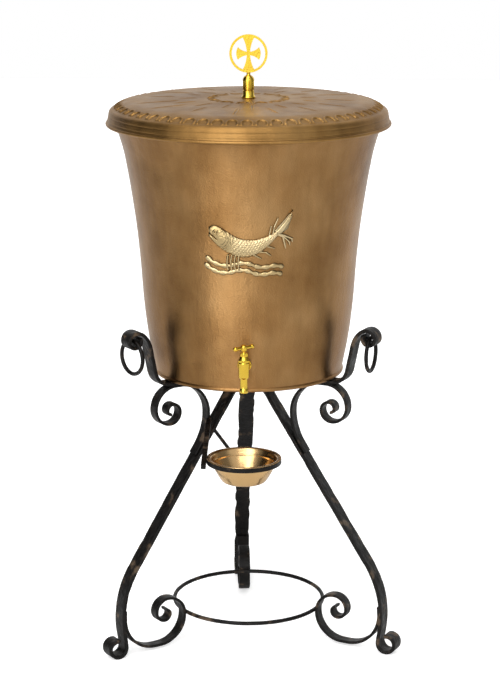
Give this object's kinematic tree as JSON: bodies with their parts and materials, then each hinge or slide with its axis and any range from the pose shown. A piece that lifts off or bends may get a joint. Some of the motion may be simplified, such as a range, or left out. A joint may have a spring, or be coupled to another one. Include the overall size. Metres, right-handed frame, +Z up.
{
  "type": "holy water urn on tripod stand",
  "caption": "Lidded copper holy water urn with a brass tap, fish plaque and cross finial, on a scrolled wrought iron tripod with a drip bowl and ring handles.",
  "frame": {"origin": "on the floor, on the upright axis of the vessel and the tripod", "axes": "+Z up along the axis of the vessel; -Y towards the tap; +X to the right as seen from the tap side"},
  "size_m": [0.5137, 0.5514, 1.05],
  "materials": {
    "aged_copper": "hammered and brushed, antique patina",
    "bright_copper": "polished",
    "gilt_brass": "polished",
    "aged_brass": "cast, dark patina in the recesses",
    "wrought_iron": "forged, black wax",
    "rubber": "matt"
  },
  "bodies": {
    "stand": {"hub_plate": "wrought_iron", "floor_ring": "wrought_iron", "bowl_hoop": "wrought_iron", "bowl_arm": "wrought_iron", "bowl_strut": "wrought_iron", "leg_left": "wrought_iron", "support_left": "wrought_iron", "upper_scroll_left": "wrought_iron", "foot_scroll_left": "wrought_iron", "leg_right": "wrought_iron", "support_right": "wrought_iron", "upper_scroll_right": "wrought_iron", "foot_scroll_right": "wrought_iron", "leg_rear": "wrought_iron", "support_rear": "wrought_iron", "upper_scroll_rear": "wrought_iron", "foot_scroll_rear": "wrought_iron"},
    "vessel": {"vessel_body": "aged_copper", "vessel_floor": "aged_copper", "fish_plaque": "aged_brass", "fish_rivets": "aged_brass", "tap_body": "gilt_brass", "tap_outer_washer": "rubber", "tap_inner_washer": "rubber", "tap_backnut": "gilt_brass", "tap_bonnet": "gilt_brass", "tap_packing": "rubber", "tap_gland_nut": "gilt_brass"},
    "lid": {"lid_shell": "aged_copper", "lid_collar": "aged_copper", "finial_column": "gilt_brass", "finial_cross": "gilt_brass", "finial_washer": "gilt_brass", "finial_nut": "gilt_brass"},
    "bowl": {"drip_bowl": "bright_copper"},
    "tap_valve": {"tap_jumper": "gilt_brass", "jumper_washer": "rubber"},
    "tap_handle": {"tap_spindle": "gilt_brass", "tap_tee_bar": "gilt_brass"},
    "ring_handle_left": {"ring_left": "wrought_iron"},
    "ring_handle_right": {"ring_right": "wrought_iron"},
    "ring_handle_rear": {"ring_rear": "wrought_iron"}
  },
  "joints": [
    {"name": "vessel_lift", "type": "slide", "parent": "stand", "child": "vessel", "axis": [0, 0, 1], "range_m": [0, 0.1]},
    {"name": "lid_lift", "type": "slide", "parent": "vessel", "child": "lid", "axis": [0, 0, 1], "range_m": [0, 0.12]},
    {"name": "bowl_lift", "type": "slide", "parent": "stand", "child": "bowl", "axis": [0, 0, 1], "range_m": [0, 0.06]},
    {"name": "tap_rise", "type": "slide", "parent": "vessel", "child": "tap_valve", "axis": [0, 0, 1], "range_m": [0, 0.0025]},
    {"name": "tap_turn", "type": "hinge", "parent": "tap_valve", "child": "tap_handle", "pos_m": [0, -0.19966, 0.545], "axis": [0, 0, 1], "range_deg": [0, 450]},
    {"name": "ring_swing_left", "type": "hinge", "parent": "stand", "child": "ring_handle_left", "pos_m": [-0.1892, -0.13248, 0.55429], "axis": [-0.5736, 0.8192, 0], "range_deg": [-25, 85]},
    {"name": "ring_swing_right", "type": "hinge", "parent": "stand", "child": "ring_handle_right", "pos_m": [0.20933, -0.09761, 0.55429], "axis": [-0.4226, -0.9063, 0], "range_deg": [-25, 85]},
    {"name": "ring_swing_rear", "type": "hinge", "parent": "stand", "child": "ring_handle_rear", "pos_m": [-0.02013, 0.23009, 0.55429], "axis": [0.9962, 0.0872, 0], "range_deg": [-25, 85]}
  ],
  "couplings": [
    {"joint": "tap_turn", "follows": "tap_rise", "rad_per_m": 3141.6}
  ]
}
